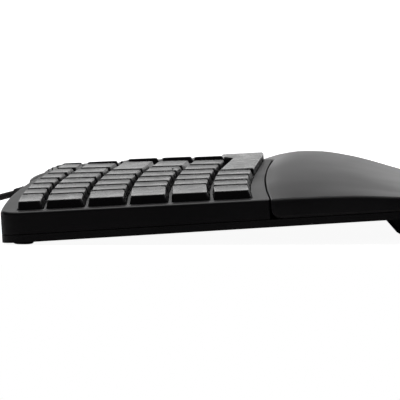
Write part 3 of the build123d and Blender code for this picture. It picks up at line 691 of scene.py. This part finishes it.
def crest_share(x):
    """How much of the crest's rise the palm rest has at x, with the crest and the valley softened."""
    softness = CREST_SOFTNESS
    scale = CREST_X / (math.sqrt(CREST_X**2 + softness**2) - softness)
    reach = (math.sqrt((x - CREST_X) ** 2 + softness**2) - softness) * scale
    if x > CREST_X:
        over = max(softness - abs(reach - RIGHT_WING_WIDTH), 0.0) / softness
        reach = min(reach, RIGHT_WING_WIDTH) - over**2 * softness / 4
    rise = CREST_X * math.tan(WING_SLOPE)
    share = (rise + SIDE_RISE - reach * math.tan(WING_SLOPE)) / (rise + SIDE_RISE)
    share = min(max(share, 0.0), 1.0)
    return share + sizes().palm_swell * share * (1.0 - share)


def palm_height(x, y):
    """Height of the palm rest's top at a point of the board, in millimetres."""
    rear = seam_y(x) + SEAM_GAP
    along = (rear - y) / (rear - front_y(x))
    share = crest_share(x)
    crown = steady_curve(PALM_ALONG, PALM_CROWN, along) * sizes().palm_crown / MM
    side = steady_curve(PALM_ALONG, PALM_SIDE, along) * sizes().palm_side / MM
    return share * crown + (1.0 - share) * side


def round_drop(reach, radius):
    """How far a rounded rim has dropped at a distance from the edge."""
    if reach >= radius:
        return 0.0
    return radius - math.sqrt(max(radius**2 - (radius - reach) ** 2, 0.0))


def rim_steps(end, widest):
    """Places from zero to an end that are close together near both."""
    last = RIM_PLACES[-1]
    middle = end - 2 * last
    count = int(middle / widest)
    inner = [last + middle * step / count for step in range(1, count)]
    return RIM_PLACES + inner + [end - reach for reach in reversed(RIM_PLACES)]


def make_palm_mesh():
    """The palm rest's crowned shell, made as a close grid over its plan with a skirt down to the tray."""
    edge = sizes().palm_edge / MM
    seam_edge = sizes().palm_seam_edge / MM
    corner = FRONT_CORNER / 2
    shape = bmesh.new()
    carry = board_place()
    columns = []
    for x in rim_steps(CASE_WIDTH, COLUMN_STEP):
        column = []
        from_side = min(x, CASE_WIDTH - x)
        rear = seam_y(x)
        front = edge_y(x)
        for percent in rim_steps(100.0, ROW_STEP):
            y = rear + (front - rear) * (percent / 100.0)
            to_front = y - front
            if from_side < corner and y < -FRONT_DEPTH + corner:
                reach = math.hypot(corner - from_side, -FRONT_DEPTH + corner - y)
                to_front = corner - reach
            drop = max(round_drop(min(from_side, to_front), edge), round_drop(rear - y, seam_edge))
            column.append(shape.verts.new(carry @ Vector((x, y, palm_height(x, y) - drop))))
        columns.append(column)
    for left, right in zip(columns, columns[1:]):
        for index in range(len(left) - 1):
            shape.faces.new((left[index], right[index], right[index + 1], left[index + 1]))
    add_skirt(shape, columns)
    return mesh_from(shape, "palm_rest_shell")


def skirt_foot(point):
    """Where the palm rest's wall ends: on the tray, with its corner under the seam rounded away."""
    radius = sizes().palm_foot_corner / MM
    return TRAY_TOP + round_drop(max(seam_y(point.x) - point.y, 0.0), radius)


def add_skirt(shape, columns):
    """Walls from the palm rest's rim straight down to the tray."""
    rim = [column[0] for column in columns] + columns[-1][1:]
    rim += [column[-1] for column in reversed(columns[:-1])] + list(reversed(columns[0][1:-1]))
    carry = board_place()
    back = carry.inverted()
    above = rim
    for share in SKIRT_SHARES:
        below = []
        for vertex in rim:
            point = back @ vertex.co
            fall = (skirt_foot(point) - point.z) * share
            below.append(shape.verts.new(carry @ Vector((point.x, point.y, point.z + fall))))
        ring_strip(shape, above, below)
        above = below


# Geometry Nodes


def start_tree(name, fields):
    """A Geometry Nodes tree and the outputs of its input node; fields holds a socket type for each name."""
    tree = bpy.data.node_groups.new(name, "GeometryNodeTree")
    for field, kind in {**fields, "Finish": "Material"}.items():
        tree.interface.new_socket(name=field, in_out="INPUT", socket_type="NodeSocket" + kind)
    tree.interface.new_socket(name="Geometry", in_out="OUTPUT", socket_type="NodeSocketGeometry")
    return tree, add_node(tree, "NodeGroupInput").outputs


def end_tree(tree, finish, instances):
    """Realizes the instances, gives them their finish and ends the tree."""
    real = outcome(tree, "GeometryNodeRealizeInstances", {"Geometry": instances})
    smooth = outcome(tree, "GeometryNodeSetShadeSmooth", {"Geometry": real})
    dressed = outcome(tree, "GeometryNodeSetMaterial", {"Geometry": smooth, "Material": finish})
    add_node(tree, "NodeGroupOutput", {"Geometry": dressed})
    return tree


def circle(tree, radius, corners):
    """A circle's curve with so many corners."""
    inputs = {"Radius": radius, "Resolution": corners}
    return outcome(tree, "GeometryNodeCurvePrimitiveCircle", inputs, mode="RADIUS")


def rib_tree():
    """A row of half-sunk round ribs, for rubber pads, plug grips and finger marks."""
    name = "Ribs in a row"
    if name in bpy.data.node_groups:
        return bpy.data.node_groups[name]
    fields = {
        "Count": "Int",
        "First": "Vector",
        "Step": "Vector",
        "Turn": "Rotation",
        "Length": "Float",
        "Radius": "Float",
    }
    tree, given = start_tree(name, fields)
    inputs = {0: (-0.5, 0.0, 0.0), "Scale": given["Length"]}
    half = outcome(tree, "ShaderNodeVectorMath", inputs, operation="SCALE")
    inputs = {"Start": half, "Direction": (1.0, 0.0, 0.0), "Length": given["Length"]}
    path = outcome(tree, "GeometryNodeCurvePrimitiveLine", inputs, mode="DIRECTION")
    close = outcome(tree, "GeometryNodeResampleCurve", {"Curve": path, "Count": 9})
    factor = outcome(tree, "GeometryNodeSplineParameter")
    ends = add_node(tree, "ShaderNodeFloatCurve", {"Value": factor})
    curve = ends.mapping.curves[0]
    curve.points[0].location = (0.0, RIB_TIP)
    curve.points[1].location = (1.0, RIB_TIP)
    curve.points.new(RIB_TAPER, 1.0)
    curve.points.new(1.0 - RIB_TAPER, 1.0)
    ends.mapping.update()
    width = ends.outputs["Value"]
    taper = outcome(tree, "GeometryNodeSetCurveRadius", {"Curve": close, "Radius": width})
    inputs = {"Curve": taper, "Profile Curve": circle(tree, given["Radius"], 12), "Fill Caps": True}
    bar = add_node(tree, "GeometryNodeCurveToMesh", inputs)
    if "Scale" in bar.inputs:
        feed(tree, bar, {"Scale": width})
    inputs = {"Count": given["Count"], "Start Location": given["First"], "Offset": given["Step"]}
    places = outcome(tree, "GeometryNodeMeshLine", inputs, mode="OFFSET")
    inputs = {"Points": places, "Instance": bar.outputs["Mesh"], "Rotation": given["Turn"]}
    return end_tree(tree, given["Finish"], outcome(tree, "GeometryNodeInstanceOnPoints", inputs))


def ring_tree():
    """Rings that grow smaller along a bent boot."""
    fields = {
        "Count": "Int",
        "Start": "Vector",
        "Middle": "Vector",
        "End": "Vector",
        "Ring radius": "Float",
        "Wire radius": "Float",
        "Shrink": "Float",
    }
    tree, given = start_tree("Rings along a boot", fields)
    inputs = {
        "Curve": circle(tree, given["Ring radius"], 40),
        "Profile Curve": circle(tree, given["Wire radius"], 10),
    }
    ring = outcome(tree, "GeometryNodeCurveToMesh", inputs)
    inputs = {"Start": given["Start"], "Middle": given["Middle"], "End": given["End"], "Resolution": 24}
    path = outcome(tree, "GeometryNodeCurveQuadraticBezier", inputs)
    spaced = outcome(tree, "GeometryNodeResampleCurve", {"Curve": path, "Count": given["Count"]})
    tangent = outcome(tree, "GeometryNodeInputTangent")
    along = outcome(tree, "FunctionNodeAlignRotationToVector", {"Vector": tangent}, axis="Z")
    less = maths(tree, "MULTIPLY", outcome(tree, "GeometryNodeInputIndex"), given["Shrink"])
    left = maths(tree, "SUBTRACT", 1.0, less)
    inputs = {"Points": spaced, "Instance": ring, "Rotation": along, "Scale": left}
    return end_tree(tree, given["Finish"], outcome(tree, "GeometryNodeInstanceOnPoints", inputs))


def grow(tree, values, slot):
    """The plain mesh that a Geometry Nodes tree makes from these inputs."""
    holder = put_object("holder", bpy.data.meshes.new("holder"))
    modifier = holder.modifiers.new("grow", "NODES")
    modifier.node_group = tree
    chosen = {**values, "Finish": finish_of(slot)}
    for item in tree.interface.items_tree:
        if item.in_out == "INPUT":
            modifier[item.identifier] = chosen[item.name]
    return plain_mesh(holder)


def grow_ribs(slot, size, count=1, first=(0.0, 0.0, 0.0), step=(0.0, 0.0, 0.0), turn=0.0):
    """A row of ribs of one size, given as length and radius."""
    length, radius = size
    values = {
        "Count": count,
        "First": first,
        "Step": step,
        "Turn": (0.0, 0.0, turn),
        "Length": length,
        "Radius": radius,
    }
    return grow(rib_tree(), values, slot)


def joined(name, meshes):
    """Several meshes as one."""
    shape = bmesh.new()
    for mesh in meshes:
        shape.from_mesh(mesh)
    whole = bpy.data.meshes.new(name)
    shape.to_mesh(whole)
    shape.free()
    for polygon in whole.polygons:
        polygon.material_index = 0
    return whole


# The cord


def coil_points():
    """Control points for the coil's turns, in and out in layers, on the cord's own spline."""
    pitch = sizes().coil_pitch
    fold_length = 2 * COIL_LOOPS
    points = []
    for step in range(int(COIL_TURNS * COIL_POINTS) + 1):
        turn = step / COIL_POINTS
        fold = turn % fold_length
        radius = sizes().coil_radius - min(fold, fold_length - fold) * pitch
        climbs = 0.0
        for layer in range(1, COIL_LAYERS):
            climbs += min(max(2 * (turn - layer * COIL_LOOPS) + 0.5, 0.0), 1.0)
        angle = math.pi - 2 * math.pi * turn
        wide = radius / math.cos(math.pi / COIL_POINTS)
        x = COIL_X + wide * math.cos(angle)
        points.append((x, COIL_Y + wide * math.sin(angle), COIL_LOW + climbs * pitch))
    return points


def cord_points():
    """The cord's points from the strain relief to the plug, the same as the part's own."""
    return CORD_RUN + coil_points() + CORD_LEAD


# Operators


class MakeStage(bpy.types.Operator):
    """Makes the camera, the white floor and backdrop and the soft studio light"""

    bl_idname = "keyboard.make_stage"
    bl_label = "Stage"

    def execute(self, context):
        scene = context.scene
        scene.view_settings.view_transform = "Standard"
        self.make_camera(scene)
        self.make_world(scene)
        self.make_floor()
        self.make_lamps()
        return {"FINISHED"}

    def make_camera(self, scene):
        """The photograph's camera, which looks along the board from its left end."""
        turn, dip = CAMERA_TURN, CAMERA_DIP
        level = math.cos(dip)
        forward = Vector((level * math.cos(turn), -level * math.sin(turn), -math.sin(dip)))
        right = Vector((-math.sin(turn), -math.cos(turn), 0.0))
        up = right.cross(forward)
        place = Matrix((right, up, -forward)).transposed().to_4x4()
        place.translation = Vector(CAMERA_PLACE)
        data = bpy.data.cameras.new("photo_camera")
        data.lens = CAMERA_LENS
        data.sensor_width = CAMERA_SENSOR
        data.dof.use_dof = False
        camera = put_object("photo_camera", data)
        camera.matrix_world = place
        scene.camera = camera

    def make_world(self, scene):
        """A white surround for the camera that lights the object only a little."""
        world = bpy.data.worlds.new("studio")
        tree = clean_tree(world)
        seen = add_node(tree, "ShaderNodeLightPath").outputs["Is Camera Ray"]
        dim = outcome(tree, "ShaderNodeBackground", {"Color": WHITE, "Strength": WORLD_GLOW})
        white = outcome(tree, "ShaderNodeBackground", {"Color": WHITE, "Strength": 1.0})
        both = outcome(tree, "ShaderNodeMixShader", {"Fac": seen, 1: dim, 2: white})
        add_node(tree, "ShaderNodeOutputWorld", {"Surface": both})
        scene.world = world

    def make_floor(self):
        """A pale desk top under the object and a white card behind it."""
        near, far, side = FLOOR_NEAR, FLOOR_FAR, FLOOR_SIDE
        corners = [(near, -side, 0.0), (far, -side, 0.0), (far, side, 0.0), (near, side, 0.0)]
        floor = self.sheet("floor", corners)
        floor.data.materials.append(self.pale("floor_white", FLOOR_GLOW))
        x, side, top = CARD_X, CARD_SIDE, CARD_TOP
        card = self.sheet("backdrop", [(x, -side, 0.0), (x, side, 0.0), (x, side, top), (x, -side, top)])
        card.data.materials.append(self.pale("backdrop_white", 1.0, 1.0))

    def sheet(self, name, corners):
        """A flat sheet of the stage."""
        mesh = bpy.data.meshes.new(name)
        mesh.from_pydata(corners, [], [(0, 1, 2, 3)])
        return put_object(name, mesh)

    def pale(self, name, seen, gloss=0.0):
        """White matter that looks white to the camera, and to reflections where gloss is given."""
        material = bpy.data.materials.new(name)
        tree = clean_tree(material)
        grey = (STAGE_GREY, STAGE_GREY, STAGE_GREY, 1.0)
        rays = add_node(tree, "ShaderNodeLightPath").outputs
        camera = maths(tree, "MULTIPLY", rays["Is Camera Ray"], seen)
        glossy = maths(tree, "MULTIPLY", rays["Is Glossy Ray"], gloss)
        strength = maths(tree, "MAXIMUM", camera, glossy)
        matte = outcome(tree, "ShaderNodeBsdfDiffuse", {"Color": grey})
        glow = outcome(tree, "ShaderNodeEmission", {"Color": WHITE, "Strength": strength})
        both = outcome(tree, "ShaderNodeAddShader", {0: matte, 1: glow})
        add_node(tree, "ShaderNodeOutputMaterial", {"Surface": both})
        return material

    def make_lamps(self):
        """One broad lamp above and a little behind, and a weak fill from the palm side."""
        for name, place, target, size, power in LAMPS:
            data = bpy.data.lights.new(name, "AREA")
            data.shape = "SQUARE"
            data.size = size
            data.energy = power
            lamp = put_object(name, data)
            way = Vector(target) - Vector(place)
            lamp.matrix_world = Matrix.Translation(place) @ way.to_track_quat("-Z", "Y").to_matrix().to_4x4()


class MakeCord(bpy.types.Operator):
    """Makes the cord from the strain relief through its coil to the plug"""

    bl_idname = "keyboard.make_cord"
    bl_label = "Cord"

    def execute(self, context):
        points = cord_points()
        data = bpy.data.curves.new("cord", "CURVE")
        data.dimensions = "3D"
        data.bevel_depth = sizes().cord_diameter / 2
        data.bevel_resolution = 3
        data.use_fill_caps = True
        data.resolution_u = 3
        spline = data.splines.new("NURBS")
        spline.points.add(len(points) - 1)
        for point, place in zip(spline.points, points):
            point.co = (*place, 1.0)
        spline.order_u = 3
        spline.use_endpoint_u = True
        data.materials.append(finish_of("cord_jacket"))
        piece = put_object("cord", data)
        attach(piece, "case")
        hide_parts("cable_run", "cable_coil", "plug_lead")
        return {"FINISHED"}


class MakeStrainRelief(bpy.types.Operator):
    """Makes the ringed boot where the cord leaves the rear wall"""

    bl_idname = "keyboard.make_strain_relief"
    bl_label = "Strain relief"

    def execute(self, context):
        tip = Vector(RELIEF_TIP)
        way = (Vector(cord_points()[1]) - tip).normalized()
        wall_way = Vector((0.0, math.cos(STAND_TILT), -math.sin(STAND_TILT)))
        root = Vector(RELIEF_ROOT)
        bend = tip - way * (tip - root).length * 0.5
        shape = bmesh.new()
        rings = []
        sections = [(root + wall_way * reach, wall_way, radius) for reach, radius in RELIEF_COLLAR]
        sections.append((root - wall_way * NUDGE, wall_way, RELIEF_NECK))
        for step in range(RELIEF_STEPS + 1):
            share = step / RELIEF_STEPS
            first = root.lerp(bend, share)
            second = bend.lerp(tip, share)
            heading = wall_way if step == 0 else (second - first).normalized()
            sections.append((first.lerp(second, share), heading, RELIEF_BOOT - RELIEF_TAPER * share))
        sections.append((tip + way * NUDGE, way, RELIEF_MOUTH))
        for centre, heading, radius in sections:
            turn = heading.to_track_quat("Z", "Y").to_matrix().to_4x4()
            rings.append(round_ring(shape, Matrix.Translation(centre) @ turn, radius, RELIEF_SIDES))
        close_rings(shape, rings)
        core = mesh_from(shape, "relief_core")
        values = {
            "Count": sizes().relief_rings,
            "Start": tuple(root + wall_way * RING_START),
            "Middle": tuple(bend),
            "End": tuple(tip - way * RING_END),
            "Ring radius": RING_RADIUS,
            "Wire radius": RING_WIRE,
            "Shrink": RING_SHRINK,
        }
        ringed = grow(ring_tree(), values, "cord_jacket")
        piece = add_piece("strain_relief_boot", joined("boot", [core, ringed]), "case", "cord_jacket")
        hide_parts("strain_relief")
        return {"FINISHED"}


class MakePlug(bpy.types.Operator):
    """Makes the plug's ribbed grip, its tongue and the strap round the coil"""

    bl_idname = "keyboard.make_plug"
    bl_label = "Plug and strap"

    def execute(self, context):
        self.make_grip()
        self.make_strap()
        return {"FINISHED"}

    def make_grip(self):
        """A moulded grip that swells from the cord to its full width."""
        low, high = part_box("plug_grip")
        middle = Vector((low.x, (low.y + high.y) / 2, PLUG_AXIS))
        shape = bmesh.new()
        rings = []
        for reach, half_width, half_height, power in GRIP_STATIONS:
            ring = []
            for side in range(GRIP_SIDES):
                angle = 2 * math.pi * side / GRIP_SIDES
                flat, tall = math.cos(angle), math.sin(angle)
                across = math.copysign(abs(flat) ** (2 / power), flat) * half_width * MM
                up = math.copysign(abs(tall) ** (2 / power), tall) * half_height * MM
                ring.append(shape.verts.new(middle + Vector((reach, across, up))))
            rings.append(ring)
        close_rings(shape, rings)
        grip = mesh_from(shape, "grip")
        ribs = []
        for side in (1, -1):
            first = middle + Vector((GRIP_RIB_START, 0.0, side * GRIP_RIB_HEIGHT))
            step = (GRIP_RIB_PITCH, 0.0, 0.0)
            size = (GRIP_RIB_LENGTH, GRIP_RIB_RADIUS)
            ribs.append(grow_ribs("cord_jacket", size, sizes().grip_ribs, tuple(first), step, math.pi / 2))
        tongue = bmesh.new()
        centre = Vector((low.x + GRIP_LENGTH + TONGUE_REACH, middle.y, PLUG_AXIS + TONGUE_RISE))
        size = Matrix.Diagonal((*(2 * TONGUE_HALF), 1.0))
        bmesh.ops.create_cube(tongue, size=1.0, matrix=Matrix.Translation(centre) @ size)
        bmesh.ops.bevel(tongue, geom=tongue.edges[:], offset=TONGUE_BEVEL, segments=2, affect="EDGES")
        block = mesh_from(tongue, "tongue", smooth=False)
        piece = add_piece("plug_grip_moulding", joined("plug", [grip, block] + ribs), "case", "cord_jacket")
        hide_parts("plug_grip")

    def make_strap(self):
        """A soft strap with rounded corners in the place of the plain one."""
        low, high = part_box("coil_tie")
        middle = (low + high) / 2
        half = (high - low) / 2
        shape = bmesh.new()
        rings = []
        ends = [(-half.x, STRAP_PINCH), (-half.x + STRAP_EDGE, 0.0)]
        stations = ends + [(-reach, pinch) for reach, pinch in reversed(ends)]
        for inner in (False, True):
            order = stations if not inner else reversed(stations)
            for reach, pinch in order:
                inset = STRAP_THICKNESS * (1 - pinch if inner else pinch)
                ring = []
                radius = STRAP_CORNER - inset
                across = half.y - inset - radius
                up = half.z - inset - radius
                for quarter, (sy, sz) in enumerate([(1, 1), (-1, 1), (-1, -1), (1, -1)]):
                    for step in range(STRAP_STEPS + 1):
                        angle = math.pi / 2 * (quarter + step / STRAP_STEPS)
                        y = sy * across + radius * math.cos(angle)
                        z = sz * up + radius * math.sin(angle)
                        ring.append(shape.verts.new(middle + Vector((reach, y, z))))
                rings.append(ring)
        for index, ring in enumerate(rings):
            ring_strip(shape, ring, rings[(index + 1) % len(rings)])
        strap = mesh_from(shape, "strap")
        piece = add_piece("coil_strap", strap, "case", "cord_jacket")
        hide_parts("coil_tie")


class MakePalmRest(bpy.types.Operator):
    """Makes the palm rest's smooth crowned shell"""

    bl_idname = "keyboard.make_palm_rest"
    bl_label = "Palm rest"

    def execute(self, context):
        shell = make_palm_mesh()
        settings = {"thickness": sizes().palm_wall, "offset": -1.0, "use_even_offset": False}
        shell = with_modifier(shell, "SOLIDIFY", settings)
        piece = add_piece("palm_rest_crown", shell, "case", "palm_plastic")
        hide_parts("palm_rest")
        return {"FINISHED"}


class MakeFeet(bpy.types.Operator):
    """Makes the rounded rubber feet and the ribs under the leg pads"""

    bl_idname = "keyboard.make_feet"
    bl_label = "Feet"

    def execute(self, context):
        self.make_rear_feet()
        self.make_pad_ribs("left")
        self.make_pad_ribs("right")
        return {"FINISHED"}

    def make_rear_feet(self):
        """Low rubber buttons with a rounded rim, flat on the desk."""
        low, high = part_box("rear_feet")
        radius = sizes().foot_radius
        tall = high.z - low.z
        rim = [(radius * share, height) for share, height in FOOT_RIM]
        profile = [(NUDGE, 0.0)] + rim + [(radius, tall - NUDGE), (NUDGE, tall)]
        feet = []
        for x in (low.x + radius, high.x - radius):
            place = Matrix.Translation((x, (low.y + high.y) / 2, low.z))
            feet.append(mesh_from(lathe(profile, FOOT_SIDES, place), "foot"))
        piece = add_piece("rear_rubber_feet", joined("feet", feet), "case", "foot_rubber")
        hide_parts("rear_feet")

    def make_pad_ribs(self, side):
        """Anti-slip ribs along the tip of a leg's pad."""
        low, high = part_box(side + "_leg_pad")
        count = sizes().pad_ribs
        step = (high.z - low.z) * PAD_RIB_RISE / count
        first = ((low.x + high.x) / 2, low.y + PAD_RIB_INSET + step / 2, PAD_RIB_HEIGHT)
        size = ((high.x - low.x) * PAD_RIB_WIDTH, PAD_RIB_RADIUS)
        ribs = grow_ribs("foot_rubber", size, count, first, (0.0, -step * PAD_RIB_LEAN, step))
        add_piece(side + "_leg_pad_ribs", ribs, side + "_riser", "foot_rubber")


class MakeFingerMarks(bpy.types.Operator):
    """Makes the raised bars that mark the home keys"""

    bl_idname = "keyboard.make_finger_marks"
    bl_label = "Finger marks"

    def execute(self, context):
        for name, x, node in FINGER_MARKS:
            bar = grow_ribs("key_plastic", (sizes().mark_length / MM, MARK_RADIUS))
            top = Matrix.Translation((0.0, MARK_Y, CAP_RISE - CAP_DISH + MARK_RISE))
            bar.transform(key_place(x, HOME_ROW_Y) @ top)
            add_piece(name, bar, node + "_body", "key_plastic")
        return {"FINISHED"}


class FinishFrame(bpy.types.Operator):
    """Gives every part of the frame that shows its own finish"""

    bl_idname = "keyboard.finish_frame"
    bl_label = "Frame finishes"

    def execute(self, context):
        known = {slot["slot"] for slot in frame["record"]["materials"]}
        for name, node in frame["nodes"].items():
            for slot in node.material_slots:
                label = slot.material.name.split(".")[0]
                if label not in known:
                    raise RuntimeError("No finish for " + name)
                slot.material = finish_of(label)
        return {"FINISHED"}


class KeyboardPanel(bpy.types.Panel):
    """Lists the keyboard's pieces in the sidebar"""

    bl_idname = "VIEW3D_PT_keyboard"
    bl_label = "Split keyboard"
    bl_space_type = "VIEW_3D"
    bl_region_type = "UI"
    bl_category = "Keyboard"

    def draw(self, context):
        layout = self.layout
        for operator in OPERATORS:
            layout.operator(operator.bl_idname)
        for group in (context.scene.keyboard_sizes, context.scene.keyboard_colours):
            box = layout.box()
            for name in group.bl_rna.properties.keys():
                if name not in ("rna_type", "name"):
                    box.prop(group, name)


OPERATORS = (
    MakeStage,
    MakeStrainRelief,
    MakePlug,
    MakeCord,
    MakePalmRest,
    MakeFeet,
    MakeFingerMarks,
    FinishFrame,
)
CLASSES = (KeyboardSizes, KeyboardColours, *OPERATORS, KeyboardPanel)


def register():
    """Adds the classes and the settings to Blender."""
    for kind in CLASSES:
        bpy.utils.register_class(kind)
    bpy.types.Scene.keyboard_sizes = PointerProperty(type=KeyboardSizes)
    bpy.types.Scene.keyboard_colours = PointerProperty(type=KeyboardColours)


def unregister():
    """Takes the settings and the classes away again."""
    del bpy.types.Scene.keyboard_colours
    del bpy.types.Scene.keyboard_sizes
    for kind in reversed(CLASSES):
        bpy.utils.unregister_class(kind)


def main():
    """Makes everything in order."""
    register()
    bpy.ops.keyboard.make_stage()
    bpy.ops.keyboard.make_strain_relief()
    bpy.ops.keyboard.make_plug()
    bpy.ops.keyboard.make_cord()
    bpy.ops.keyboard.make_palm_rest()
    bpy.ops.keyboard.make_feet()
    bpy.ops.keyboard.make_finger_marks()
    bpy.ops.keyboard.finish_frame()


if __name__ == "__main__":
    main()
